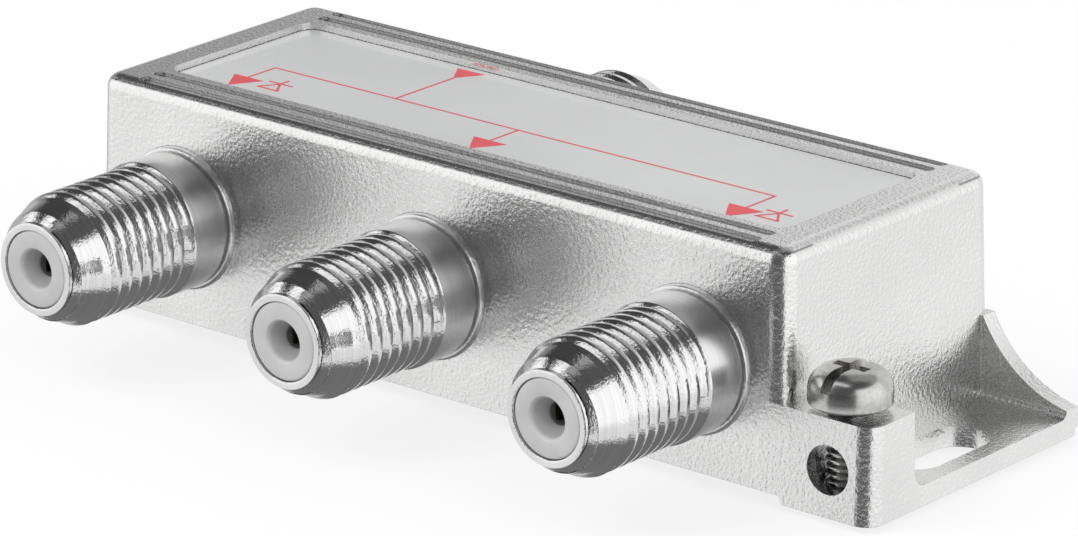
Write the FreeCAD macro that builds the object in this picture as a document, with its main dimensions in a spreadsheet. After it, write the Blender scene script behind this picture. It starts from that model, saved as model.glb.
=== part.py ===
import FreeCAD
import Part
import math
import os
import Sketcher

document = FreeCAD.newDocument("coaxial_splitter")
sheet = document.addObject("Spreadsheet::Sheet", "Sizes")

# Millimetres and degrees. Reach is measured outwards from the middle of the casting.
SIZES = {
    # casting
    "case_length": 61.74,
    "case_width": 23.3,
    "case_height": 17.22,
    "case_lift": 0.57,
    "draft_angle": 1.41,
    "edge_radius": 1.0,
    "corner_radius": 1.3,
    "cavity_length": 58.4,
    "cavity_width": 19.7,
    "cavity_corner": 0.6,
    "roof_thickness": 1.8,
    "post_size": 2.3,
    # mounting ears with their gussets
    "ear_span": 75.9,
    "ear_thickness": 1.45,
    "ear_rear": 11.5,
    "ear_corner": 0.4,
    "step_inset": 0.3,
    "slot_spacing": 69.0,
    "slot_length": 9.2,
    "slot_width": 4.2,
    "slot_shift": 0.25,
    "gusset_thickness": 1.3,
    "gusset_height": 7.2,
    "gusset_tip": 2.0,
    "gusset_radius": 9.6,
    "foot_radius": 0.6,
    # ground block
    "block_depth": 4.85,
    "block_height": 6.85,
    "block_foot": 1.2,
    "axis_inset": 3.55,
    "wire_radius": 1.7,
    "wire_height": 3.3,
    # top face
    "recess_length": 55.0,
    "recess_width": 15.1,
    "recess_corner": 1.2,
    "recess_depth": 0.6,
    "groove_length": 55.1,
    "groove_width": 0.95,
    "groove_bevel": 0.28,
    "groove_depth": 0.3,
    "groove_outer": 10.15,
    "groove_inner": 8.7,
    "label_thickness": 0.1,
    "label_margin": 0.08,
    # base plate
    "plate_thickness": 0.5,
    "plate_ledge": 0.75,
    "plate_gap": 0.05,
    # sockets, from the casting outwards
    "socket_pitch": 22.75,
    "socket_height": 8.2,
    "barrel_overhang": 0.4,
    "collar_overhang": 0.26,
    "collar_radius": 5.15,
    "shank_length": 3.24,
    "shank_radius": 4.9,
    "thread_length": 8.3,
    "thread_radius": 4.72,
    "nose_length": 2.25,
    "rim_length": 0.38,
    "rim_radius": 3.3,
    "press_gap": 0.02,
    # insulator and contact
    "insulator_radius": 2.76,
    "insulator_set_back": 0.05,
    "funnel_radius": 1.52,
    "funnel_depth": 1.2,
    "entry_radius": 0.63,
    "entry_length": 0.55,
    "contact_size": 1.4,
    "contact_gap": 0.9,
    "contact_depth": 9.0,
    "pin_size": 0.7,
    "pin_overlap": 1.6,
    # ground screw
    "screw_radius": 1.5,
    "screw_gap": 0.05,
    "screw_drop": 0.48,
    "head_gap": 0.5,
    "head_radius": 2.83,
    "head_side": 1.05,
    "shoulder_radius": 2.4,
    "shoulder_rise": 1.03,
    "crown_radius": 1.4,
    "crown_rise": 0.42,
    "driver_width": 0.8,
    "driver_depth": 1.18,
    "driver_wing": 1.65,
    # circuit board and what stands on it
    "board_thickness": 1.0,
    "board_gap": 0.3,
    "core_radius": 2.9,
    "core_bore": 1.5,
    "core_height": 2.6,
    "wire_thickness": 0.3,
    "bore_slack": 0.04,
    "wire_turns": 6,
    "wire_pitch": 28,
    "chip_length": 3.2,
    "chip_width": 1.6,
    "chip_terminal": 0.5,
    "terminal_rise": 0.05,
    "capacitor_height": 1.2,
    "resistor_height": 0.6,
    "diode_length": 4.3,
    "diode_width": 2.6,
    "diode_height": 2.1,
    "diode_terminal": 1.2,
    "choke_length": 4.0,
    "choke_height": 2.4,
    "choke_bevel": 0.5,
    "front_row": 4.5,
    "back_row": 3.6,
    "chip_offset": 3.6,
    "diode_offset": 4.2,
    "core_row": 2.4,
}


class Size:
    """A length with the spreadsheet expression it follows."""

    def __init__(self, number, text):
        self.number = number
        self.text = text

    def joined(self, other, sign, number):
        return Size(number, "(" + self.text + sign + as_size(other).text + ")")

    def __add__(self, other):
        return self.joined(other, " + ", self.number + as_size(other).number)

    def __sub__(self, other):
        return self.joined(other, " - ", self.number - as_size(other).number)

    def __mul__(self, other):
        return self.joined(other, " * ", self.number * as_size(other).number)

    def __truediv__(self, other):
        return self.joined(other, " / ", self.number / as_size(other).number)

    def __neg__(self):
        return Size(-self.number, "(-1 * " + self.text + ")")


def as_size(value):
    if isinstance(value, Size):
        return value
    return Size(float(value), repr(float(value)))


def fill_sheet():
    sizes = {}
    for row, name in enumerate(SIZES, start=1):
        sheet.set("A" + str(row), name)
        sheet.set("B" + str(row), str(SIZES[name]))
        sheet.setAlias("B" + str(row), name)
        sizes[name] = Size(float(SIZES[name]), "Sizes." + name)
    document.recompute()
    return sizes


size = fill_sheet()

# Shared levels and reaches

half_length = size["case_length"] / 2
half_width = size["case_width"] / 2
half_span = size["ear_span"] / 2
recess_floor = size["case_height"] - size["recess_depth"]
cavity_top = recess_floor - size["roof_thickness"]
cavity_x = size["cavity_length"] / 2
cavity_y = size["cavity_width"] / 2
barrel_reach = cavity_y - size["barrel_overhang"]
board_top = size["socket_height"] - size["pin_size"] / 2
board_x = cavity_x - size["board_gap"]
board_y = barrel_reach - size["board_gap"]

collar_reach = half_width + size["collar_overhang"]
thread_back = collar_reach + size["shank_length"]
thread_front = thread_back + size["thread_length"]
nose_reach = thread_front + size["nose_length"]
rim_reach = nose_reach + size["rim_length"]
insulator_reach = rim_reach - size["insulator_set_back"]
funnel_reach = insulator_reach - size["funnel_depth"]
contact_reach = funnel_reach - size["entry_length"]
pin_reach = board_y - size["pin_overlap"]

lean = Size(math.tan(math.radians(SIZES["draft_angle"])), "tan(Sizes.draft_angle * 1 deg)")
block_front = -half_width - size["case_lift"] * lean
block_rear = block_front + size["block_depth"]
screw_x = half_span - size["axis_inset"]
screw_y = block_front + size["block_depth"] / 2
head_low = size["block_height"] + size["head_gap"]
shoulder_level = head_low + size["head_side"] + size["shoulder_rise"]
head_top = shoulder_level + size["crown_rise"]
input_x = -size["socket_pitch"] / 2
output_x = [-size["socket_pitch"], as_size(0), size["socket_pitch"]]


# Sketch and feature helpers


def start_body(label):
    body = document.addObject("PartDesign::Body", label)
    body.Label = label
    return body


def put(body, x, y, z):
    for letter, value in (("x", x), ("y", y), ("z", z)):
        body.setExpression("Placement.Base." + letter, as_size(value).text)


def datum(body, role):
    return [item for item in body.Origin.OriginFeatures if item.Role == role][0]


def new_sketch(body, role, lift):
    sketch = body.newObject("Sketcher::SketchObject", "sketch")
    sketch.AttachmentSupport = [(datum(body, role), "")]
    sketch.MapMode = "FlatFace"
    sketch.setExpression("AttachmentOffset.Base.z", as_size(lift).text)
    return sketch


def hold(sketch, kind, places, value):
    """Adds one driving dimension that follows the sheet."""
    index = sketch.addConstraint(Sketcher.Constraint(kind, *places, value.number))
    sketch.setExpression("Constraints[" + str(index) + "]", value.text)


def pin_point(sketch, edge, end, x, y):
    for kind, axis, value in (("DistanceX", -2, x), ("DistanceY", -1, y)):
        if value.number == 0:
            sketch.addConstraint(Sketcher.Constraint("PointOnObject", edge, end, axis))
        else:
            hold(sketch, kind, (-1, 1, edge, end), value)


def arc_centre(start, end, radius):
    """The centre of the arc that turns left from start to end, or right if radius is negative."""
    chord = end - start
    across = FreeCAD.Vector(-chord.y, chord.x, 0).normalize()
    height = math.sqrt(max(radius * radius - chord.Length ** 2 / 4, 0))
    return (start + end) / 2 + across * math.copysign(height, radius)


def add_arc(sketch, start, end, radius):
    """Returns the edge and which of its ends is the arc's start on the outline."""
    centre = arc_centre(start, end, radius.number)
    angles = [math.atan2(point.y - centre.y, point.x - centre.x) for point in (start, end)]
    if radius.number < 0:
        angles.reverse()
    if angles[1] < angles[0]:
        angles[1] += 2 * math.pi
    circle = Part.Circle(centre, FreeCAD.Vector(0, 0, 1), abs(radius.number))
    edge = sketch.addGeometry(Part.ArcOfCircle(circle, angles[0], angles[1]), False)
    return edge, 1 if radius.number > 0 else 2


def outline(sketch, corners):
    """Closes an outline. A corner's third value is the radius of the arc that leads to it."""
    points = [FreeCAD.Vector(as_size(c[0]).number, as_size(c[1]).number, 0) for c in corners]
    ends = []
    for index, corner in enumerate(corners):
        start, end = points[index - 1], points[index]
        if len(corner) == 3:
            edge, first = add_arc(sketch, start, end, as_size(corner[2]))
        else:
            edge = sketch.addGeometry(Part.LineSegment(start, end), False)
            first = 1
        ends.append((edge, first, 3 - first))
    for index, corner in enumerate(corners):
        edge, first, last = ends[index]
        following, following_first, _ = ends[(index + 1) % len(ends)]
        sketch.addConstraint(
            Sketcher.Constraint("Coincident", edge, last, following, following_first)
        )
        pin_point(sketch, edge, last, as_size(corner[0]), as_size(corner[1]))
        if len(corner) == 3:
            radius = as_size(corner[2])
            hold(sketch, "Radius", (edge,), radius if radius.number > 0 else -radius)


def rectangle(left, right, low, high):
    return [(left, low), (right, low), (right, high), (left, high)]


def rounded(left, right, low, high, radius):
    return [
        (right - radius, low),
        (right, low + radius, radius),
        (right, high - radius),
        (right - radius, high, radius),
        (left + radius, high),
        (left, high - radius, radius),
        (left, low + radius),
        (left + radius, low, radius),
    ]


def bevelled(left, right, low, high, bevel):
    return [
        (right - bevel, low),
        (right, low + bevel),
        (right, high - bevel),
        (right - bevel, high),
        (left + bevel, high),
        (left, high - bevel),
        (left, low + bevel),
        (left + bevel, low),
    ]


def long_slot(x, y, half, radius):
    """A slot along Y with round ends, each end drawn as two quarter arcs."""
    return [
        (x + radius, y + half - radius),
        (x, y + half, radius),
        (x - radius, y + half - radius, radius),
        (x - radius, y - half + radius),
        (x, y - half, radius),
        (x + radius, y - half + radius, radius),
    ]


def circle(sketch, x, y, radius):
    centre = FreeCAD.Vector(as_size(x).number, as_size(y).number, 0)
    shape = Part.Circle(centre, FreeCAD.Vector(0, 0, 1), radius.number)
    edge = sketch.addGeometry(shape, False)
    pin_point(sketch, edge, 3, as_size(x), as_size(y))
    hold(sketch, "Radius", (edge,), radius)


def extrude(body, kind, sketch, length, reverse=False):
    feature = body.newObject("PartDesign::" + kind, kind.lower())
    feature.Profile = sketch
    feature.setExpression("Length", as_size(length).text)
    feature.Reversed = reverse
    sketch.Visibility = False
    document.recompute()
    return feature


def add_block(body, corners, low, height):
    sketch = new_sketch(body, "XY_Plane", low)
    outline(sketch, corners)
    return extrude(body, "Pad", sketch, height)


def add_drafted_block(body, left, right, front, rear, low, high, end_lean=lean):
    """A block whose sides lean inwards, as a casting needs to leave its die."""
    wedge = body.newObject("PartDesign::AdditiveWedge", "wedge")
    wedge.AttachmentSupport = [(datum(body, "XZ_Plane"), "")]
    wedge.MapMode = "FlatFace"
    inset = (high - low) * lean
    end_inset = (high - low) * end_lean
    limits = {
        "Xmin": left, "Xmax": right, "Zmin": -rear, "Zmax": -front, "Ymin": low, "Ymax": high,
        "X2min": left + end_inset, "X2max": right - end_inset,
        "Z2min": inset - rear, "Z2max": -front - inset,
    }
    for name, value in limits.items():
        wedge.setExpression(name, as_size(value).text)
    document.recompute()
    return wedge


def cut_down(body, corners, top, depth):
    sketch = new_sketch(body, "XY_Plane", top)
    outline(sketch, corners)
    return extrude(body, "Pocket", sketch, depth)


def cut_up(body, corners, bottom, depth):
    sketch = new_sketch(body, "XY_Plane", bottom)
    outline(sketch, corners)
    return extrude(body, "Pocket", sketch, depth, reverse=True)


def turn(body, corners):
    """Turns a profile of (radius, height) corners about the body's own Z axis."""
    sketch = new_sketch(body, "XZ_Plane", 0)
    outline(sketch, corners)
    feature = body.newObject("PartDesign::Revolution", "revolution")
    feature.Profile = sketch
    feature.ReferenceAxis = (sketch, ["V_Axis"])
    feature.Angle = 360
    sketch.Visibility = False
    document.recompute()
    return feature


def round_edges(body, feature, keep, radius):
    """Rounds those edges of the body's last feature whose centre passes the test."""
    names = [
        "Edge" + str(number)
        for number, edge in enumerate(feature.Shape.Edges, start=1)
        if keep(edge.BoundBox.Center, edge)
    ]
    fillet = body.newObject("PartDesign::Fillet", "fillet")
    fillet.Base = (feature, names)
    fillet.setExpression("Radius", radius.text)
    document.recompute()
    return fillet


# Casting


def case_blank(body):
    blank = add_drafted_block(body, -half_length, half_length, -half_width, half_width,
                              size["case_lift"], size["case_height"])
    top = SIZES["case_height"]

    def upright(centre, edge):
        return edge.BoundBox.ZLength > top / 2

    def on_top(centre, edge):
        return centre.z > top - 0.01

    cornered = round_edges(body, blank, upright, size["corner_radius"])
    round_edges(body, cornered, on_top, size["edge_radius"])


def add_ears(body):
    rear = size["ear_rear"]
    bend = size["ear_corner"]
    for side in (1, -1):
        if side > 0:
            corners = [
                (cavity_x, block_rear - size["edge_radius"]),
                (half_span, block_rear - size["edge_radius"]),
                (half_span, rear - bend),
                (half_span - bend, rear, bend),
                (cavity_x, rear),
            ]
        else:
            corners = [
                (-cavity_x, rear),
                (bend - half_span, rear),
                (-half_span, rear - bend, bend),
                (-half_span, -half_width),
                (-cavity_x, -half_width),
            ]
        add_block(body, corners, 0, size["ear_thickness"])


def add_gussets(body):
    for side in (1, -1):
        sketch = new_sketch(body, "XZ_Plane", -size["ear_rear"])
        wall, tip = (half_length, half_span) if side > 0 else (-half_length, -half_span)
        inner = cavity_x if side > 0 else -cavity_x
        bow = size["gusset_radius"] if side > 0 else -size["gusset_radius"]
        corners = [
            (inner, size["case_lift"]),
            (tip, size["case_lift"]),
            (tip, size["gusset_tip"]),
            (wall, size["gusset_height"], -bow),
            (inner, size["gusset_height"]),
        ]
        outline(sketch, corners)
        extrude(body, "Pad", sketch, size["gusset_thickness"])


def add_ground_block(body):
    upright = as_size(0)
    block = add_drafted_block(body, cavity_x, half_span, block_front, block_rear,
                              as_size(0), size["block_height"], end_lean=upright)

    def at_corner(centre, edge):
        full_height = edge.BoundBox.ZLength > SIZES["block_height"] - 0.01
        return full_height and centre.x > screw_x.number and centre.y < screw_y.number

    round_edges(body, block, at_corner, size["corner_radius"])


def raise_case(body):
    """Lifts the case off the mounting plane; an S-shaped step leads down to each ear."""
    x = half_length - size["step_inset"]
    bend = size["case_lift"] / 2
    below = -size["case_lift"]
    start = half_width + size["edge_radius"]
    sketch = new_sketch(body, "XZ_Plane", start)
    outline(sketch, [
        (-x - bend, below),
        (x + bend, below),
        (x + bend, 0),
        (x, bend, -bend),
        (x - bend, size["case_lift"], bend),
        (bend - x, size["case_lift"]),
        (-x, bend, bend),
        (-x - bend, 0, -bend),
    ])
    extrude(body, "Pocket", sketch, start * 2)


def soften_feet(body):
    """Rounds the inner corners where gussets and block meet the top of the ears."""
    top = SIZES["ear_thickness"]
    gusset_front = SIZES["ear_rear"] - SIZES["gusset_thickness"]
    shortest = SIZES["foot_radius"] * 4

    def on_ear(centre, edge):
        level = abs(centre.z - top) < 0.01 and edge.BoundBox.YLength < 0.01
        return level and edge.BoundBox.XLength > shortest

    def at_gusset(centre, edge):
        return on_ear(centre, edge) and abs(centre.y - gusset_front) < 0.01

    def at_block(centre, edge):
        return on_ear(centre, edge) and abs(centre.y - block_rear.number) < 0.1

    round_edges(body, body.Tip, at_gusset, size["foot_radius"])
    round_edges(body, body.Tip, at_block, size["block_foot"])


def hollow(body):
    inside = bevelled(-cavity_x, cavity_x, -cavity_y, cavity_y, size["cavity_corner"])
    cut_up(body, inside, size["case_lift"], cavity_top - size["case_lift"])
    x = cavity_x + size["plate_ledge"]
    y = cavity_y + size["plate_ledge"]
    rebate = bevelled(-x, x, -y, y, size["cavity_corner"])
    cut_up(body, rebate, size["case_lift"], size["plate_thickness"])


def add_posts(body):
    """Four posts hang from the roof and stop the circuit board at its corners."""
    far_x = cavity_x + size["board_gap"]
    far_y = cavity_y + size["board_gap"]
    near_x = board_x - size["post_size"]
    near_y = board_y - size["post_size"] / 2
    height = cavity_top - board_top
    add_block(body, rectangle(near_x, far_x, near_y, far_y), board_top, height)
    add_block(body, rectangle(-far_x, -near_x, near_y, far_y), board_top, height)
    add_block(body, rectangle(near_x, far_x, -far_y, -near_y), board_top, height)
    add_block(body, rectangle(-far_x, -near_x, -far_y, -near_y), board_top, height)


def cut_top(body):
    x = size["recess_length"] / 2
    y = size["recess_width"] / 2
    window = rounded(-x, x, -y, y, size["recess_corner"])
    cut_down(body, window, size["case_height"], size["recess_depth"])
    sketch = new_sketch(body, "XY_Plane", size["case_height"])
    x = size["groove_length"] / 2
    half = size["groove_width"] / 2
    for reach in (size["groove_outer"], size["groove_inner"]):
        for row in (reach, -reach):
            outline(sketch, bevelled(-x, x, row - half, row + half, size["groove_bevel"]))
    extrude(body, "Pocket", sketch, size["groove_depth"])


def cut_socket_bore(body, x, front):
    start = half_width + size["collar_radius"]
    sketch = new_sketch(body, "XZ_Plane", start if front else -start)
    circle(sketch, x, size["socket_height"], size["collar_radius"] + size["press_gap"])
    extrude(body, "Pocket", sketch, start - barrel_reach, reverse=not front)


def cut_ground_holes(body):
    sketch = new_sketch(body, "XZ_Plane", half_width + size["wire_radius"])
    circle(sketch, screw_x, size["wire_height"], size["wire_radius"])
    extrude(body, "Pocket", sketch, size["block_depth"] + size["wire_radius"] * 2)
    sketch = new_sketch(body, "XY_Plane", size["block_height"] + size["wire_radius"])
    circle(sketch, screw_x, screw_y, size["screw_radius"] + size["screw_gap"])
    extrude(body, "Pocket", sketch, size["block_height"] + size["wire_radius"] * 2)


def cut_ear_slots(body):
    sketch = new_sketch(body, "XY_Plane", size["ear_thickness"] + size["slot_width"])
    half = size["slot_length"] / 2
    radius = size["slot_width"] / 2
    for x in (size["slot_spacing"] / 2, -size["slot_spacing"] / 2):
        outline(sketch, long_slot(x, size["slot_shift"], half, radius))
    extrude(body, "Pocket", sketch, size["ear_thickness"] + size["slot_width"] * 2)


def make_housing():
    body = start_body("housing")
    case_blank(body)
    add_ears(body)
    add_gussets(body)
    add_ground_block(body)
    raise_case(body)
    soften_feet(body)
    hollow(body)
    add_posts(body)
    cut_top(body)
    for x in output_x:
        cut_socket_bore(body, x, True)
    cut_socket_bore(body, input_x, False)
    cut_ground_holes(body)
    cut_ear_slots(body)
    return body


def make_base_plate():
    body = start_body("base_plate")
    x = cavity_x + size["plate_ledge"] - size["plate_gap"]
    y = cavity_y + size["plate_ledge"] - size["plate_gap"]
    sheet_outline = bevelled(-x, x, -y, y, size["cavity_corner"])
    add_block(body, sheet_outline, size["case_lift"], size["plate_thickness"])
    return body


def make_label():
    body = start_body("label")
    x = size["recess_length"] / 2 - size["label_margin"]
    y = size["recess_width"] / 2 - size["label_margin"]
    add_block(body, rounded(-x, x, -y, y, size["recess_corner"]), recess_floor,
              size["label_thickness"])
    return body


# Sockets, each turned about its own axis and then laid along Y


def lay_down(body, x, front):
    angle = 90 if front else -90
    body.Placement = FreeCAD.Placement(
        FreeCAD.Vector(0, 0, 0), FreeCAD.Rotation(FreeCAD.Vector(1, 0, 0), angle)
    )
    put(body, x, 0, size["socket_height"])


def make_socket(label, x, front):
    body = start_body(label)
    bore = size["insulator_radius"] + size["press_gap"]
    turn(body, [
        (bore, barrel_reach),
        (size["collar_radius"], barrel_reach),
        (size["collar_radius"], collar_reach),
        (size["shank_radius"], collar_reach),
        (size["shank_radius"], thread_back),
        (size["thread_radius"], thread_back),
        (size["thread_radius"], thread_front),
        (size["rim_radius"], nose_reach),
        (size["rim_radius"], rim_reach),
        (bore, rim_reach),
    ])
    lay_down(body, x, front)
    return body


def make_insulator(label, x, front):
    """A plug with a funnel in front and a square pocket for the contact behind."""
    body = start_body(label)
    turn(body, [
        (0, barrel_reach),
        (size["insulator_radius"], barrel_reach),
        (size["insulator_radius"], insulator_reach),
        (size["funnel_radius"], insulator_reach),
        (size["entry_radius"], funnel_reach),
        (size["entry_radius"], contact_reach),
        (0, contact_reach),
    ])
    half = size["contact_size"] / 2 + size["press_gap"]
    pocket = rectangle(-half, half, -half, half)
    cut_up(body, pocket, barrel_reach, contact_reach - barrel_reach)
    lay_down(body, x, front)
    return body


def make_contact(label, x, front):
    """A bar with two spring leaves in front and a pin on the circuit board behind."""
    body = start_body(label)
    half = size["contact_size"] / 2
    add_block(body, rectangle(-half, half, -half, half), barrel_reach,
              contact_reach - barrel_reach)
    gap = size["contact_gap"] / 2
    wide = size["contact_size"]
    cut_down(body, rectangle(-gap, gap, -wide, wide), contact_reach, size["contact_depth"])
    pin = size["pin_size"] / 2
    add_block(body, rectangle(-pin, pin, -pin, pin), pin_reach, barrel_reach - pin_reach)
    lay_down(body, x, front)
    return body


# Ground screw


def make_ground_screw():
    body = start_body("ground_screw")
    shank = size["screw_radius"]
    head = size["head_radius"]
    tip = -size["screw_drop"]
    turn(body, [
        (0, tip),
        (shank, tip),
        (shank, head_low),
        (head, head_low),
        (head, head_low + size["head_side"]),
        (size["shoulder_radius"], shoulder_level),
        (size["crown_radius"], head_top),
        (0, head_top),
    ])
    half = size["driver_width"] / 2
    wide = head + size["driver_width"]
    wing = size["driver_wing"]
    cut_down(body, rectangle(-half, half, -wide, wide), head_top, size["driver_depth"])
    cut_down(body, rectangle(-wing, wing, -half, half), head_top, size["driver_depth"])
    put(body, screw_x, screw_y, 0)
    return body


# Circuit board and its components


def make_board():
    body = start_body("circuit_board")
    low = board_top - size["board_thickness"]
    add_block(body, rectangle(-board_x, board_x, -board_y, board_y), low,
              size["board_thickness"])
    return body


def make_core(label, x, y):
    body = start_body(label)
    low = size["wire_thickness"]
    high = size["wire_thickness"] + size["core_height"]
    turn(body, rectangle(size["core_bore"], size["core_radius"], low, high))
    put(body, x, y, board_top)
    return body


def make_winding(label, x, y):
    """Turns of wire side by side in the core's bore and fanned out round it."""
    body = start_body(label)
    wire = size["wire_thickness"]
    inner = size["core_bore"] - size["bore_slack"]
    outer = size["core_radius"]
    high = wire + size["core_height"]
    sketch = new_sketch(body, "XZ_Plane", size["wire_thickness"])
    outline(sketch, rectangle(inner - wire, outer + wire, as_size(0), high + wire))
    outline(sketch, rectangle(inner, outer, wire, high))
    pad = extrude(body, "Pad", sketch, wire * 2, reverse=True)
    pattern = body.newObject("PartDesign::PolarPattern", "turns")
    pattern.Originals = [pad]
    pattern.Axis = (datum(body, "Z_Axis"), [""])
    pattern.setExpression("Occurrences", size["wire_turns"].text)
    pattern.setExpression("Angle", (size["wire_pitch"] * (size["wire_turns"] - 1)).text)
    body.Tip = pattern
    put(body, x, y, board_top)
    return body


def make_chip(label, x, y, height):
    """A flat ceramic chip with a metal terminal round each end."""
    body = start_body(label)
    rise = size["terminal_rise"]
    half = size["chip_length"] / 2
    side = size["chip_width"] / 2
    inner = half - size["chip_terminal"]
    add_block(body, rectangle(-side, side, -half, half), rise, height)
    wide = side + rise
    add_block(body, rectangle(-wide, wide, inner, half + rise), 0, height + rise * 2)
    add_block(body, rectangle(-wide, wide, -half - rise, -inner), 0, height + rise * 2)
    put(body, x, y, board_top)
    return body


def make_diode(label, x, y):
    """A moulded diode on two folded terminals."""
    body = start_body(label)
    rise = size["terminal_rise"]
    half = size["diode_length"] / 2
    side = size["diode_width"] / 2
    strip = size["diode_terminal"] / 2
    add_block(body, rectangle(-side, side, -half, half), rise, size["diode_height"])
    foot = half + size["wire_thickness"]
    inner = half - size["diode_terminal"]
    height = size["diode_height"] / 2
    add_block(body, rectangle(-strip, strip, inner, foot), 0, height)
    add_block(body, rectangle(-strip, strip, -foot, -inner), 0, height)
    put(body, x, y, board_top)
    return body


def make_choke(label, x, y):
    """A moulded power choke: a bevelled block on two flat terminals."""
    body = start_body(label)
    rise = size["terminal_rise"]
    half = size["choke_length"] / 2
    cut = size["choke_bevel"]
    add_block(body, bevelled(-half, half, -half, half, cut), rise, size["choke_height"])
    strip = half - cut * 2
    inner = half - cut
    add_block(body, rectangle(-strip, strip, inner, half + rise), 0, size["choke_height"] / 2)
    add_block(body, rectangle(-strip, strip, -half - rise, -inner), 0, size["choke_height"] / 2)
    put(body, x, y, board_top)
    return body


def make_sockets():
    parts = []
    places = [("output_" + "{}_" + str(n + 1), x, True) for n, x in enumerate(output_x)]
    places.append(("input_{}", input_x, False))
    for pattern, x, front in places:
        parts.append(make_socket(pattern.format("socket"), x, front))
        parts.append(make_insulator(pattern.format("insulator"), x, front))
        parts.append(make_contact(pattern.format("contact"), x, front))
    return parts


def make_components():
    parts = [make_board()]
    row = size["core_row"]
    gap = size["core_radius"] + size["wire_thickness"] * 2
    middle = size["socket_pitch"] / 2
    for name, x in (("input", input_x), ("splitter_1", middle - gap), ("splitter_2", middle + gap)):
        kind, _, number = name.partition("_")
        ending = "_" + number if number else ""
        parts.append(make_core(kind + "_core" + ending, x, row))
        parts.append(make_winding(kind + "_winding" + ending, x, row))
    front = -size["front_row"]
    for number, x in enumerate(output_x, start=1):
        tail = "_" + str(number)
        parts.append(make_chip("capacitor" + tail, x, front, size["capacitor_height"]))
        parts.append(make_chip("resistor" + tail, x - size["chip_offset"], front,
                               size["resistor_height"]))
        parts.append(make_diode("pass_diode" + tail, x + size["diode_offset"], front))
        parts.append(make_choke("choke" + tail, x, size["back_row"]))
    beside = input_x - size["core_radius"] - size["chip_width"] - size["wire_thickness"] * 2
    parts.append(make_chip("capacitor_4", beside, size["back_row"], size["capacitor_height"]))
    return parts


def write_parts(parts):
    document.recompute()
    for item in document.Objects:
        if "Invalid" in item.State or "Error" in item.State:
            raise RuntimeError("broken: " + item.Name + " in " + item.FullName)
    os.makedirs("parts", exist_ok=True)
    for body in parts:
        shape = body.Shape
        if shape.isNull() or not shape.isValid():
            raise RuntimeError("unsound shape: " + body.Label)
        shape.exportStep("parts/" + body.Label + ".step")
        print(body.Label, round(shape.Volume, 2), len(shape.Solids))


write_parts(
    [make_housing(), make_base_plate(), make_label()]
    + make_sockets()
    + [make_ground_screw()]
    + make_components()
)
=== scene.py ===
import bmesh
import bpy
import math
from mathutils import Euler, Matrix, Vector


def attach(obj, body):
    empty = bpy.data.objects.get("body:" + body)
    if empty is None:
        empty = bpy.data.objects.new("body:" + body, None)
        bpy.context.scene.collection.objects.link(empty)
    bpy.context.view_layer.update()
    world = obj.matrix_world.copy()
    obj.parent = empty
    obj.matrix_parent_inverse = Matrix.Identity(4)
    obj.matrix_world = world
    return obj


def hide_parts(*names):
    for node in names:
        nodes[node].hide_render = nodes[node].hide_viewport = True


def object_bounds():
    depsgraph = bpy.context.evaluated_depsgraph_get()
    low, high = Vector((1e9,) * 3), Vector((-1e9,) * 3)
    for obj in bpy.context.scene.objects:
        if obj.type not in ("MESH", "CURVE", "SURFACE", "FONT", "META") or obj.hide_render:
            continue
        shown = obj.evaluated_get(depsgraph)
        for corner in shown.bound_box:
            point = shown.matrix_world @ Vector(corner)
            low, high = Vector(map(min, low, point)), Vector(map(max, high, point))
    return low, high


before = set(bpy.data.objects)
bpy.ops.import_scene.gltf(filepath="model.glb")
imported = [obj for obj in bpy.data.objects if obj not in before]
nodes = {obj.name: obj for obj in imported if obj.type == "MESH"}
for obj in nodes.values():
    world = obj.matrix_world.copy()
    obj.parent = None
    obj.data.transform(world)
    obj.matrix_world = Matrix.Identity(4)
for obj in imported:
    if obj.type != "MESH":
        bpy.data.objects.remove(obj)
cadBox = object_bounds()
mm = 0.001
print("frame loaded,", len(nodes), "nodes")


# camera

camera = {
    "place": (0.2652587, -0.3170562, 0.1496952),
    "tilt": 70.8887,  # degrees from straight down
    "turn": 39.8788,
    "lens": 210.93,
}


def addCamera():
    data = bpy.data.cameras.new("productCamera")
    data.sensor_width = 36
    data.lens = camera["lens"]
    data.clip_start = 0.01
    data.clip_end = 10
    item = bpy.data.objects.new("productCamera", data)
    item.location = camera["place"]
    item.rotation_euler = (math.radians(camera["tilt"]), 0, math.radians(camera["turn"]))
    bpy.context.collection.objects.link(item)
    bpy.context.scene.camera = item


addCamera()
bpy.context.scene.view_settings.view_transform = "Standard"


# shader maths


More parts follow.
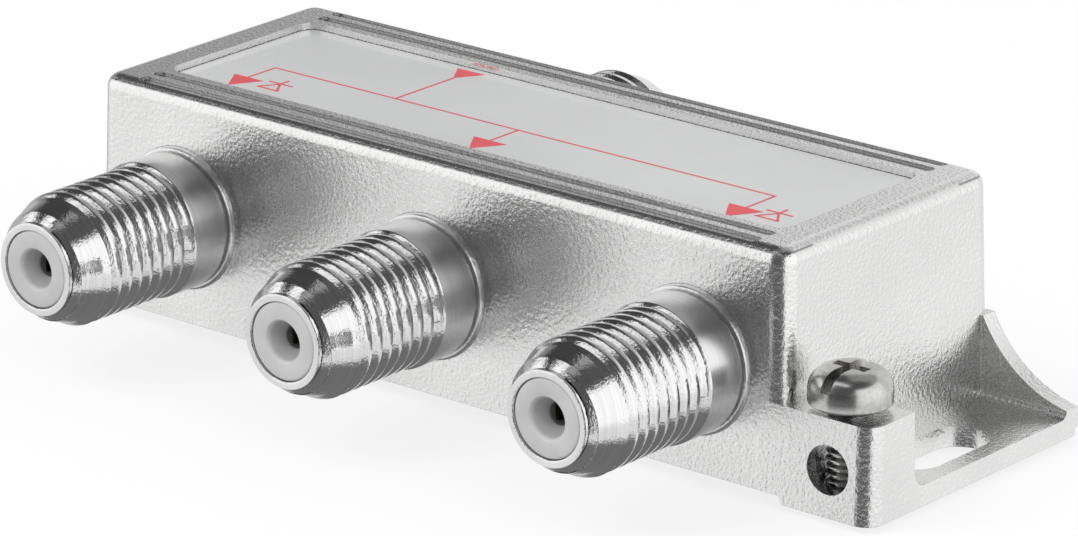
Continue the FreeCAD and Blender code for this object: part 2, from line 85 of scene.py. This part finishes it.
class Wire:
    # wraps one socket, so that sums and products add Math nodes
    def __init__(self, tree, socket):
        self.tree = tree
        self.socket = socket

    def node(self, kind, settings=None, inputs=None, output=0):
        made = self.tree.nodes.new(kind)
        for name, value in (settings or {}).items():
            if name == "stops":
                setStops(made.color_ramp, value)
            else:
                setattr(made, name, value)
        for name, value in (inputs or {}).items():
            if isinstance(value, Wire):
                self.tree.links.new(value.socket, made.inputs[name])
            else:
                made.inputs[name].default_value = value
        return Wire(self.tree, made.outputs[output]) if len(made.outputs) else None

    def maths(self, operation, first, second=0.0):
        return self.node("ShaderNodeMath", {"operation": operation}, {0: first, 1: second})

    def __add__(self, other):
        return self.maths("ADD", self, other)

    __radd__ = __add__

    def __mul__(self, other):
        return self.maths("MULTIPLY", self, other)

    __rmul__ = __mul__

    def __sub__(self, other):
        return self.maths("SUBTRACT", self, other)

    def __rsub__(self, other):
        return self.maths("SUBTRACT", other, self)

    def __truediv__(self, other):
        return self.maths("DIVIDE", self, other)

    def step(self, low, high, start=0.0, end=1.0):
        # a soft step from start to end while the value goes from low to high
        return self.node(
            "ShaderNodeMapRange",
            {"interpolation_type": "SMOOTHSTEP"},
            {"Value": self, "From Min": low, "From Max": high, "To Min": start, "To Max": end},
        )

    def part(self, index):
        # the x, y or z of a vector
        return self.node("ShaderNodeSeparateXYZ", {}, {0: self}, index)

    def noise(self, scale, detail=2.0, roughness=0.5, stretch=(1, 1, 1)):
        place = self.node("ShaderNodeMapping", {}, {"Vector": self, "Scale": stretch})
        return self.node(
            "ShaderNodeTexNoise", {},
            {"Vector": place, "Scale": scale, "Detail": detail, "Roughness": roughness},
        )

    def blend(self, factor, first, second):
        # mixes two colours
        return self.node(
            "ShaderNodeMix", {"data_type": "RGBA"}, {0: factor, 6: first, 7: second}, 2
        )


def setStops(ramp, stops):
    while len(ramp.elements) > 1:
        ramp.elements.remove(ramp.elements[-1])
    for index, (place, colour) in enumerate(stops):
        element = ramp.elements[0] if index == 0 else ramp.elements.new(place)
        element.position = place
        element.color = colour


def grey(value, warmth=0.0):
    return (value * (1 + warmth), value, value * (1 - warmth), 1.0)


def newMaterial(name):
    material = bpy.data.materials.new(name)
    material.use_nodes = True
    material.node_tree.nodes.clear()
    tree = material.node_tree
    coordinates = tree.nodes.new("ShaderNodeTexCoord")
    return material, Wire(tree, coordinates.outputs["Object"])


def shade(place, colour, roughness, metallic=0.0, height=None, depth=1e-5, edge=0.0, fixed=None):
    # the surface shader; edge is how far the light softens along sharp edges, and fixed
    # holds constants for the other sockets
    inputs = {"Base Color": colour, "Roughness": roughness, "Metallic": metallic}
    if height is not None:
        bump = {"Height": height, "Distance": depth, "Strength": 1.0}
        if edge:
            bump["Normal"] = place.node("ShaderNodeBevel", {"samples": 6}, {"Radius": edge})
        inputs["Normal"] = place.node("ShaderNodeBump", {}, bump)
    inputs.update(fixed or {})
    surface = place.node("ShaderNodeBsdfPrincipled", {}, inputs)
    place.node("ShaderNodeOutputMaterial", {}, {"Surface": surface})


# metals

castMetal = {
    "light": grey(0.83, 0.004),
    "dark": grey(0.75, 0.004),
    "grain": 3600,  # bumps a metre
    "depth": 3.4e-5,
    "roughness": (0.21, 0.3),
    "edge": 4e-5,
    "groove": 0.34,  # painted shade: how dark the floors of the grooves are painted
}


def makeCastMetal():
    material, place = newMaterial("nickelPlatedCasting")
    grain = place.noise(castMetal["grain"], 1.5, 0.5)
    fine = place.noise(castMetal["grain"] * 2.7, 1.0)
    patches = place.noise(90, 3.0)
    colour = place.blend(patches.step(0.3, 0.7), castMetal["dark"], castMetal["light"])
    # painted shade: the floors of the grooves along the top are painted darker grey in the base
    # colour
    beside = place.part(1).maths("ABSOLUTE", place.part(1)).step(0.0079, 0.0081)
    shadedGrooveFloors = place.part(2).step(0.01694, 0.01698, 1.0, 0.0) * place.part(2).step(0.0168, 0.0169)
    colour = place.blend(beside * shadedGrooveFloors, colour, grey(castMetal["groove"]))
    low, high = castMetal["roughness"]
    roughness = fine.step(0.3, 0.7, low, high)
    shade(place, colour, roughness, 1.0, grain + fine * 0.2, castMetal["depth"],
          castMetal["edge"])
    return material


turnedMetal = {
    "light": grey(0.78),
    "dark": grey(0.7),
    "speck": 5200,  # specks a metre, on the thread and the nose
    "depth": 1.6e-5,
    "roughness": (0.08, 0.14),
    "collarEnd": 0.01192,
    "shankEnd": 0.01515,
    "shankRoughness": 0.28,
}


def makeTurnedMetal():
    # the turning axis lies along Y; the shank behind the thread is duller and has no specks,
    # and the collar is as grainy as the casting that it sits in
    material, place = newMaterial("turnedNickel")
    rings = place.noise(900, 3.0, 0.6, (0.15, 9.0, 0.15))
    specks = place.noise(turnedMetal["speck"], 2.0, 0.6)
    reach = place.part(1).maths("ABSOLUTE", place.part(1))
    end = turnedMetal["shankEnd"]
    threaded = reach.step(end - 1e-4, end + 1e-4)
    colour = place.blend(rings.step(0.35, 0.65), turnedMetal["dark"], turnedMetal["light"])
    low, high = turnedMetal["roughness"]
    dull = turnedMetal["shankRoughness"]
    roughness = threaded * (specks.step(0.3, 0.7, low, high) - dull) + dull
    collar = reach.step(turnedMetal["collarEnd"], turnedMetal["collarEnd"] + 5e-5, 1.0, 0.0)
    grain = place.noise(castMetal["grain"], 1.5, 0.5) * collar
    grain = grain * (castMetal["depth"] / turnedMetal["depth"])
    shade(place, colour, roughness, 1.0, rings * 0.06 + specks * threaded + grain,
          turnedMetal["depth"])
    return material


screwMetal = {
    "light": grey(0.6, 0.008),
    "dark": grey(0.5, 0.008),
    "roughness": (0.2, 0.3),
    "depth": 3e-6,
}


def makeScrewMetal():
    material, place = newMaterial("zincPlatedScrew")
    rings = place.noise(700, 3.0, 0.6, (0.2, 0.2, 8.0))
    specks = place.noise(3000, 2.0)
    colour = place.blend(specks.step(0.3, 0.7), screwMetal["dark"], screwMetal["light"])
    low, high = screwMetal["roughness"]
    roughness = rings.step(0.3, 0.7, low, high)
    shade(place, colour, roughness, 1.0, rings * 0.5 + specks * 0.5, screwMetal["depth"])
    return material


def makeSheetMetal():
    material, place = newMaterial("tinnedSheet")
    rolled = place.noise(500, 3.0, 0.6, (0.2, 6.0, 1.0))
    stains = place.noise(120, 3.0)
    colour = place.blend(stains.step(0.3, 0.7), grey(0.58), grey(0.68))
    shade(place, colour, rolled.step(0.3, 0.7, 0.28, 0.42), 1.0, rolled, 6e-6)
    return material


def makeContactMetal():
    material, place = newMaterial("shadedContactSpring")
    stains = place.noise(1500, 3.0)
    # painted shade: the contact is coloured near black so that the wire hole behind the funnel reads
    # dark
    colour = place.blend(stains.step(0.3, 0.7), (0.1, 0.08, 0.05, 1), (0.2, 0.16, 0.1, 1))
    shade(place, colour, stains.step(0.3, 0.7, 0.3, 0.5), 1.0, stains, 4e-6)
    return material


# film, plastic and what is inside


def makeLabelFilm():
    material, place = newMaterial("labelFilm")
    fleck = place.noise(9000, 2.0)
    waves = place.noise(60, 2.0)
    colour = place.blend(waves.step(0.25, 0.75), grey(0.6, -0.006), grey(0.66, -0.006))
    roughness = fleck.step(0.3, 0.7, 0.3, 0.4)
    shade(place, colour, roughness, 0.0, waves + fleck * 0.02, 2e-5, fixed={"Coat Weight": 0.4})
    return material


def makeRedInk():
    material, place = newMaterial("redInk")
    fleck = place.noise(7000, 2.0)
    colour = place.blend(fleck.step(0.3, 0.7), (0.7, 0.055, 0.065, 1), (0.78, 0.09, 0.1, 1))
    shade(place, colour, fleck.step(0.3, 0.7, 0.35, 0.45))
    return material


def makePlastic():
    # milky plastic, with painted shade down in the funnel
    material, place = newMaterial("insulatorPlastic")
    flow = place.noise(350, 3.0)
    fine = place.noise(6000, 2.0)
    reach = place.part(1).maths("ABSOLUTE", place.part(1))
    colour = place.blend(flow.step(0.3, 0.7), grey(0.63), grey(0.7))
    # painted shade: the funnel behind the face is painted dark grey
    colour = place.blend(reach.step(0.0256, 0.026), grey(0.4), colour)
    shade(place, colour, fine.step(0.3, 0.7, 0.32, 0.44), 0.0, fine, 2e-6)
    return material


def makeSpeckled(name, first, second, scale, roughness, depth=4e-6):
    # two tones of one colour, for the parts inside
    material, place = newMaterial(name)
    spots = place.noise(scale, 3.0, 0.6)
    colour = place.blend(spots.step(0.35, 0.65), first, second)
    shade(place, colour, spots.step(0.3, 0.7, roughness, roughness + 0.12), 0.0, spots, depth)
    return material


def makeWireEnamel():
    material, place = newMaterial("enamelledWire")
    spots = place.noise(1200, 2.0)
    colour = place.blend(spots.step(0.3, 0.7), (0.3, 0.09, 0.03, 1), (0.42, 0.15, 0.05, 1))
    shade(place, colour, spots.step(0.3, 0.7, 0.25, 0.35), 0.6, spots, 3e-6)
    return material


castingFinish = makeCastMetal()
turnedFinish = makeTurnedMetal()
screwFinish = makeScrewMetal()
plasticFinish = makePlastic()
labelFinish = makeLabelFilm()
inkFinish = makeRedInk()

finishes = {
    "housing": castingFinish,
    "base_plate": makeSheetMetal(),
    "label": labelFinish,
    "contact": makeContactMetal(),
    "circuit_board": makeSpeckled("boardLaminate", (0.02, 0.11, 0.05, 1),
                                  (0.03, 0.15, 0.07, 1), 900, 0.35),
    "core": makeSpeckled("ferrite", grey(0.035), grey(0.06), 1500, 0.5),
    "choke": makeSpeckled("chokeFerrite", grey(0.045), grey(0.07), 1800, 0.45),
    "winding": makeWireEnamel(),
    "capacitor": makeSpeckled("capacitorCeramic", (0.35, 0.22, 0.12, 1),
                              (0.42, 0.28, 0.16, 1), 2500, 0.4),
    "resistor": makeSpeckled("resistorCeramic", (0.03, 0.04, 0.06, 1),
                             (0.06, 0.07, 0.1, 1), 2500, 0.35),
    "diode": makeSpeckled("diodeMoulding", grey(0.02), grey(0.04), 2200, 0.45),
}

for name, item in nodes.items():
    finish = [value for key, value in finishes.items() if key in name]
    if finish:
        item.data.materials.clear()
        item.data.materials.append(finish[0])
print("materials ready")


# mesh helpers


def ringProfile(mesh, corners):
    # joins (radius, height) corners in millimetres with edges in the XZ plane
    points = [mesh.verts.new((radius * mm, 0, height * mm)) for radius, height in corners]
    return [mesh.edges.new(pair) for pair in zip(points, points[1:])]


def turnProfile(corners, steps=128):
    # a closed outline turned about Z
    mesh = bmesh.new()
    edges = ringProfile(mesh, corners + corners[:1])
    bmesh.ops.remove_doubles(mesh, verts=mesh.verts, dist=1e-7)
    bmesh.ops.spin(
        mesh, geom=mesh.verts[:] + mesh.edges[:], cent=(0, 0, 0), axis=(0, 0, 1),
        angle=2 * math.pi, steps=steps, use_merge=True,
    )
    bmesh.ops.remove_doubles(mesh, verts=mesh.verts, dist=1e-7)
    return mesh


def roundRings(mesh, rings, width, segments=3):
    # bevels the circular edges that lie at the given (radius, height) corners
    chosen = [
        edge for edge in mesh.edges
        if any(onRing(edge.verts[0], ring) and onRing(edge.verts[1], ring) for ring in rings)
    ]
    bmesh.ops.bevel(
        mesh, geom=chosen, offset=width * mm, segments=segments, profile=0.5,
        affect="EDGES", material=-1, clamp_overlap=True,
    )


def onRing(vertex, ring):
    radius = math.hypot(vertex.co.x, vertex.co.y) / mm
    return abs(radius - ring[0]) < 0.004 and abs(vertex.co.z / mm - ring[1]) < 0.004


def addHelix(mesh, corners, pitch, start, turns, steps, limit=None):
    # sweeps a ridge outline upwards from an angle; limit gives the greatest radius at a height
    first = ringProfile(mesh, corners + corners[:1])
    verts = list({vertex for edge in first for vertex in edge.verts})
    bmesh.ops.remove_doubles(mesh, verts=verts, dist=1e-7)
    loop = [edge for edge in first if edge.is_valid]
    verts = list({vertex for edge in loop for vertex in edge.verts})
    bmesh.ops.rotate(mesh, verts=verts, cent=(0, 0, 0),
                     matrix=Matrix.Rotation(math.radians(start), 3, "Z"))
    bmesh.ops.contextual_create(mesh, geom=loop)
    turn = Matrix.Rotation(2 * math.pi / steps, 3, "Z")
    for number in range(round(turns * steps)):
        grown = bmesh.ops.extrude_edge_only(mesh, edges=loop)["geom"]
        verts = [item for item in grown if isinstance(item, bmesh.types.BMVert)]
        loop = [item for item in grown if isinstance(item, bmesh.types.BMEdge)]
        bmesh.ops.rotate(mesh, verts=verts, cent=(0, 0, 0), matrix=turn)
        bmesh.ops.translate(mesh, verts=verts, vec=(0, 0, pitch * mm / steps))
        for vertex in verts if limit else []:
            shrink = min(1, limit(vertex.co.z / mm) * mm / vertex.co.xy.length)
            vertex.co.xy *= shrink
    bmesh.ops.contextual_create(mesh, geom=loop)


def finishPiece(mesh, name, material, angle=35, place=None):
    # recalculates the normals, puts the mesh in its place and makes the object
    bmesh.ops.recalc_face_normals(mesh, faces=mesh.faces)
    if place is not None:
        bmesh.ops.transform(mesh, matrix=place, verts=mesh.verts)
    data = bpy.data.meshes.new(name)
    mesh.to_mesh(data)
    mesh.free()
    data.materials.append(material)
    data.shade_smooth()
    data.set_sharp_from_angle(angle=math.radians(angle))
    item = bpy.data.objects.new(name, data)
    bpy.context.collection.objects.link(item)
    return item


def stand(node, body, piece):
    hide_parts(node)
    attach(piece, body)


# sockets and insulators

socket = {
    "height": 8.2,
    "outputs": (-22.75, 0.0, 22.75),
    "input": -11.375,
    "bore": 2.78,
    "back": 9.45,
    "collar": (5.15, 11.91),
    "shank": (4.9, 15.15),
    "undercut": (4.62, 12.22),  # narrow groove between the collar and the shank
    "shankCone": 0.55,  # length of the cone from the shank down to the thread's root
    "root": 4.28,
    "crest": 4.71,
    "crestWidth": 0.28,
    "flank": 40,  # degrees, on the side towards the nose
    "pitch": 1.0375,
    "threadStart": (-4, 15.08),  # degrees from +X, and where the ridge's rear edge is there
    "blank": [(3.9, 25.13), (4.33, 23.95), (4.72, 23.25)],  # the nose that the thread cuts
    "rim": (3.3, 25.73),
    "front": 26.08,
}


def blankRadius(reach):
    # the greatest radius that the nose leaves to the thread
    (tip, tipEnd), (middle, middleEnd), (wide, wideEnd) = socket["blank"]
    if reach > middleEnd:
        return tip + (middle - tip) * (tipEnd - reach) / (tipEnd - middleEnd)
    return middle + (wide - middle) * (middleEnd - reach) / (middleEnd - wideEnd)


def layDown(x, front):
    # the mesh's Z becomes the outward direction, and a socket at the back turns with it
    turn = Matrix.Rotation(math.radians(90 if front else -90), 4, "X")
    return Matrix.Translation((x * mm, 0, socket["height"] * mm)) @ turn


def addThread(mesh):
    angle, rear = socket["threadStart"]
    crest, low = socket["crest"], socket["root"] - 0.08
    shoulder = rear + socket["crestWidth"]
    slope = math.tan(math.radians(socket["flank"]))
    ridge = [(low, rear - 0.05), (crest - 0.15, rear - 0.015), (crest - 0.03, rear),
             (crest, rear + 0.05), (crest, (rear + shoulder) / 2), (crest, shoulder),
             (crest - 0.02, shoulder + 0.1), (crest - 0.06, shoulder + 0.18)]
    flankStart = shoulder + 0.18
    for drop in (0.14, 0.22, 0.3, 0.38, crest - low):
        ridge.append((crest - drop, flankStart + (drop - 0.06) / slope))
    turns = (socket["blank"][0][1] - 0.5 - rear) / socket["pitch"]
    addHelix(mesh, ridge, socket["pitch"], angle, turns, 96,
             lambda reach: max(1, blankRadius(reach) - 0.002))


def makeSocketMesh():
    root, end = socket["root"], socket["front"]
    collar, collarEnd = socket["collar"]
    groove, grooveEnd = socket["undercut"]
    shank, shankEnd = socket["shank"]
    tip, middle = socket["blank"][:2]
    rim, rimStart = socket["rim"]
    corners = [
        (socket["bore"], socket["back"]),
        (collar, socket["back"]),
        (collar, collarEnd),
        (groove, collarEnd),
        (groove, grooveEnd - 0.08),
        (shank, grooveEnd),
        (shank, shankEnd),
        (root, shankEnd + socket["shankCone"]),
        (root, middle[1] + 0.02),
        middle,
        tip,
        (rim, rimStart),
        (rim, end),
        (socket["bore"], end),
    ]
    mesh = turnProfile(corners)
    roundRings(mesh, [(collar, collarEnd)], 0.2, 4)
    roundRings(mesh, [(rim, end), (socket["bore"], end)], 0.05, 3)
    roundRings(mesh, [tip, (shank, shankEnd)], 0.06, 2)
    addThread(mesh)
    return mesh


insulator = {
    "radius": 2.76,
    "front": 26.03,
    "funnel": 1.52,
    "entry": 0.8,
    "funnelDepth": 1.2,
    "entryLength": 0.12,
    "sleeve": 0.72,
    "edge": 0.2,
}


def makeInsulatorMesh():
    face = insulator["front"]
    bottom = face - insulator["funnelDepth"]
    back = bottom - insulator["entryLength"]
    corners = [
        (insulator["sleeve"] * math.sqrt(2), socket["back"]),
        (insulator["radius"], socket["back"]),
        (insulator["radius"], face),
        (insulator["funnel"], face),
        (insulator["entry"], bottom),
        (insulator["entry"], back),
        (insulator["sleeve"] * math.sqrt(2), back),
    ]
    mesh = turnProfile(corners, 96)
    roundRings(mesh, [(insulator["radius"], face)], insulator["edge"], 4)
    roundRings(mesh, [(insulator["funnel"], face)], 0.04, 2)
    roundRings(mesh, [(insulator["entry"], bottom)], 0.05, 2)
    return mesh


socketMesh = makeSocketMesh()
insulatorMesh = makeInsulatorMesh()
ports = [("output_{}_" + str(n + 1), x, True) for n, x in enumerate(socket["outputs"])]
ports.append(("input_{}", socket["input"], False))
for pattern, x, front in ports:
    title = pattern.replace("_{}", "").replace("_", "")
    place = layDown(x, front)
    stand(pattern.format("socket"), "case",
          finishPiece(socketMesh.copy(), title + "Socket", turnedFinish, 28, place))
    stand(pattern.format("insulator"), "case",
          finishPiece(insulatorMesh.copy(), title + "Insulator", plasticFinish, 30, place))
print("sockets ready")


# ground screw

screw = {
    "axis": (34.4, -9.239),
    "tip": -0.48,
    "core": 1.2,
    "crest": 1.5,
    "pitch": 0.5,
    "headLow": 7.35,
    "headTop": 9.85,
    "head": 2.83,
    "side": 8.4,
    "flat": 1.25,
    "slotWidth": 0.8,
    "slotFloor": 8.67,
    "wing": 1.65,
}


def boxMesh(low, high):
    mesh = bmesh.new()
    bmesh.ops.create_cube(mesh, size=1)
    size = [b - a for a, b in zip(low, high)]
    centre = [(a + b) / 2 for a, b in zip(low, high)]
    bmesh.ops.scale(mesh, verts=mesh.verts, vec=[value * mm for value in size])
    bmesh.ops.translate(mesh, verts=mesh.verts, vec=[value * mm for value in centre])
    return mesh


def subtract(item, cutters):
    # takes the cutters out of an item and removes them
    for cutter in cutters:
        change = item.modifiers.new("cut", "BOOLEAN")
        change.operation = "DIFFERENCE"
        change.solver = "EXACT"
        change.object = cutter
    graph = bpy.context.evaluated_depsgraph_get()
    result = bpy.data.meshes.new_from_object(item.evaluated_get(graph))
    bpy.data.objects.remove(item)
    for cutter in cutters:
        bpy.data.objects.remove(cutter)
    mesh = bmesh.new()
    mesh.from_mesh(result)
    bmesh.ops.remove_doubles(mesh, verts=mesh.verts, dist=1e-7)
    return mesh


def makeScrewHead():
    low, top = screw["headLow"], screw["headTop"]
    radius, side, flat = screw["head"], screw["side"], screw["flat"]
    corners = [(0, low), (radius, low), (radius, side)]
    for degrees in range(12, 90, 13):
        angle = math.radians(degrees)
        corners.append((flat + (radius - flat) * math.cos(angle),
                        side + (top - side) * math.sin(angle)))
    corners += [(flat, top), (0, top)]
    mesh = bmesh.new()
    ringProfile(mesh, corners)
    bmesh.ops.spin(
        mesh, geom=mesh.verts[:] + mesh.edges[:], cent=(0, 0, 0), axis=(0, 0, 1),
        angle=2 * math.pi, steps=96, use_merge=True,
    )
    bmesh.ops.remove_doubles(mesh, verts=mesh.verts, dist=1e-7)
    roundRings(mesh, [(radius, low)], 0.2, 3)
    head = finishPiece(mesh, "headBlank", screwFinish)
    half, wing, floor = screw["slotWidth"] / 2, screw["wing"], screw["slotFloor"]
    slot = finishPiece(boxMesh((-half, -4, floor), (half, 4, top + 1)), "slotCut", screwFinish)
    wings = boxMesh((-wing, -half, floor - 0.15), (wing, half, top + 1))
    ends = [vertex for vertex in wings.verts if vertex.co.z < top * mm]
    bmesh.ops.scale(wings, verts=ends, vec=(0.55, 0.9, 1))
    cross = finishPiece(wings, "wingCut", screwFinish)
    return subtract(head, [slot, cross])


def makeScrew():
    mesh = makeScrewHead()
    tip, core, crest, pitch = screw["tip"], screw["core"], screw["crest"], screw["pitch"]
    edges = ringProfile(mesh, [(0, tip), (core - 0.1, tip), (core, tip + 0.15),
                               (core, screw["headLow"] + 0.2)])
    verts = list({vertex for edge in edges for vertex in edge.verts})
    bmesh.ops.spin(mesh, geom=verts + edges, cent=(0, 0, 0), axis=(0, 0, 1),
                   angle=2 * math.pi, steps=64, use_merge=True)
    bmesh.ops.remove_doubles(mesh, verts=mesh.verts, dist=1e-7)
    start = tip + 0.27
    ridge = [(core - 0.05, start - 0.24), (crest, start - 0.04), (crest, start + 0.04),
             (core - 0.05, start + 0.24)]
    turns = (screw["headLow"] - start) / pitch
    addHelix(mesh, ridge, pitch, 40, turns, 64)
    x, y = screw["axis"]
    piece = finishPiece(mesh, "groundScrew", screwFinish, 30,
                        Matrix.Translation((x * mm, y * mm, 0)))
    soften = piece.modifiers.new("soften", "BEVEL")
    soften.width = 0.06 * mm
    soften.segments = 2
    soften.limit_method = "ANGLE"
    soften.angle_limit = math.radians(50)
    soften.use_clamp_overlap = True
    return piece


stand("ground_screw", "screw", makeScrew())
print("screw ready")


# print on the label

inkPrint = {
    "level": 16.722,
    "thickness": 0.012,
    "line": 0.17,
    "bars": [  # x and y of both ends
        (-22.85, -1.3, 21.9, -1.3),
        (-22.85, -1.3, -22.85, -4.2),
        (-11.6, -1.3, -11.6, 5.0),
        (-0.4, -1.3, -0.4, -4.3),
        (21.9, -1.3, 21.9, -4.35),
    ],
    "arrows": [  # apex, height, width; a negative height points along -Y
        (-22.75, -6.4, -2.2, 2.7),
        (-0.4, -6.5, -2.2, 2.9),
        (21.9, -6.7, -2.3, 2.9),
        (-11.64, 4.95, -1.95, 2.5),
    ],
    "symbols": [(-20.0, -4.6), (24.3, -4.6)],
}


def addSolid(mesh, corners, level, thickness):
    verts = [mesh.verts.new((x * mm, y * mm, level * mm)) for x, y in corners]
    face = mesh.faces.new(verts)
    grown = bmesh.ops.extrude_face_region(mesh, geom=[face])["geom"]
    raised = [item for item in grown if isinstance(item, bmesh.types.BMVert)]
    bmesh.ops.translate(mesh, verts=raised, vec=(0, 0, thickness * mm))


def barCorners(x0, y0, x1, y1, width):
    along = Vector((x1 - x0, y1 - y0)).normalized() * width / 2
    across = Vector((-along.y, along.x))
    start, end = Vector((x0, y0)) - along, Vector((x1, y1)) + along
    return [start - across, end - across, end + across, start + across]


def makePrint():
    mesh = bmesh.new()
    level, thickness, width = inkPrint["level"], inkPrint["thickness"], inkPrint["line"]
    shapes = [barCorners(*bar, width) for bar in inkPrint["bars"]]
    for x, y, height, side in inkPrint["arrows"]:
        base = y - height
        shapes.append([(x, y), (x + side / 2, base), (x - side / 2, base)])
    for x, y in inkPrint["symbols"]:
        shapes += [
            barCorners(x - 1.0, y + 0.7, x + 1.0, y + 0.7, width),
            barCorners(x - 0.9, y - 0.7, x + 0.9, y - 0.7, width),
            barCorners(x - 0.9, y - 0.7, x, y + 0.6, width),
            barCorners(x + 0.9, y - 0.7, x, y + 0.6, width),
            barCorners(x, y + 0.8, x, y + 1.5, width),
        ]
    for number, corners in enumerate(shapes):
        addSolid(mesh, corners, level, thickness + 0.0004 * number)
    return finishPiece(mesh, "labelPrint", inkFinish)


labelPrint = makePrint()
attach(labelPrint, "case")
print("print ready")


# floor, world and lamps

studio = {
    "floorColour": 0.45,
    "floorWhite": 0.8,  # how much of the floor's look is plain white
    "ambient": 0.72,
    "back": 0.92,
    # what metal sees: level, azimuths, their softness, heights and their softness in
    # degrees; azimuth 0 looks at the front of the object and 90 at its right end
    "zones": [
        (0.4, (-200, 200), 1, (42, 200), 4),
        (0.1, (-40, 140), 3, (44, 200), 4),
        (1.27, (56, 140), 3, (-17, 44), 6),
        (0.55, (-142, -91), 2.5, (-200, 200), 1),
        (0.28, (-140, -91), 3, (13, 200), 3),
        (0.93, (-91, -29), 2, (-200, 200), 1),
        (1.22, (-89, -27), 3, (-12, 200), 5),
        (0.06, (-139, -90), 2, (27, 200), 3),
        (0.06, (-94, -58), 2, (37, 200), 3),
        (0.1, (-75, -24), 2, (68, 200), 3),
        (0.1, (-27, 53), 2.5, (-28, 60), 3),
        (1.1, (-30, 30), 4, (60, 72), 3),
        (0.19, (-200, 200), 1, (-200, -42), 4),
    ],
}


def makeFloor():
    mesh = bmesh.new()
    bmesh.ops.create_grid(mesh, x_segments=8, y_segments=8, size=3)
    level = cadBox[0][2]
    bmesh.ops.translate(mesh, verts=mesh.verts, vec=(0, 0, level - 2e-5))
    material, place = newMaterial("paleFloor")
    cloud = place.noise(40, 2.0)
    colour = place.blend(cloud.step(0.3, 0.7), grey(studio["floorColour"]),
                         grey(studio["floorColour"] * 1.03))
    seen = place.node("ShaderNodeLightPath")
    surface = place.node("ShaderNodeBsdfDiffuse", {}, {"Color": seen.blend(seen, colour, grey(1.0))})
    glow = place.node("ShaderNodeEmission", {}, {"Color": grey(1.0), "Strength": 1.0})
    both = place.node("ShaderNodeMixShader", {},
                      {0: seen * studio["floorWhite"], 1: surface, 2: glow})
    place.node("ShaderNodeOutputMaterial", {}, {"Surface": both})
    floor = finishPiece(mesh, "floor", material)
    floor.visible_glossy = False


def within(value, ends, softness):
    low, high = ends
    return value.step(low - softness, low + softness) * value.step(
        high - softness, high + softness, 1.0, 0.0
    )


def makeWorld():
    world = bpy.data.worlds.new("softStudio")
    bpy.context.scene.world = world
    world.use_nodes = True
    tree = world.node_tree
    tree.nodes.clear()
    coordinates = tree.nodes.new("ShaderNodeTexCoord")
    view = Wire(tree, coordinates.outputs["Generated"])
    path = tree.nodes.new("ShaderNodeLightPath")
    cameraRay = Wire(tree, path.outputs["Is Camera Ray"])
    glossyRay = Wire(tree, path.outputs["Is Glossy Ray"])
    clearRay = Wire(tree, path.outputs["Is Transmission Ray"])
    x, y, z = (view.part(index) for index in range(3))
    rise = view.maths("ARCSINE", z) * (180 / math.pi)
    turn = view.maths("ARCTAN2", x, 0 - y) * (180 / math.pi)
    seen = studio["back"]
    for level, azimuths, turnSoft, heights, riseSoft in studio["zones"]:
        mask = within(turn, azimuths, turnSoft) * within(rise, heights, riseSoft)
        seen = (level - seen) * mask + seen
    white = view.maths("MAXIMUM", cameraRay, clearRay)
    other = glossyRay * (seen - studio["ambient"]) + studio["ambient"]
    strength = white + (1 - white) * other
    background = view.node("ShaderNodeBackground", {},
                           {"Color": grey(1.0), "Strength": strength})
    view.node("ShaderNodeOutputWorld", {}, {"Surface": background})


def addLamp(name, place, target, size, power):
    data = bpy.data.lights.new(name, "AREA")
    data.shape = "DISK"
    data.size = size
    data.energy = power
    item = bpy.data.objects.new(name, data)
    item.location = place
    aim = Vector(target) - Vector(place)
    item.rotation_euler = aim.to_track_quat("-Z", "Y").to_euler()
    item.visible_glossy = False
    bpy.context.collection.objects.link(item)


makeFloor()
makeWorld()
addLamp("keyLamp", (-0.35, -0.6, 0.75), (0, 0, 0), 0.5, 3.2)
addLamp("fillLamp", (0.6, -0.2, 0.5), (0, 0, 0), 0.5, 1.0)
print("studio ready")
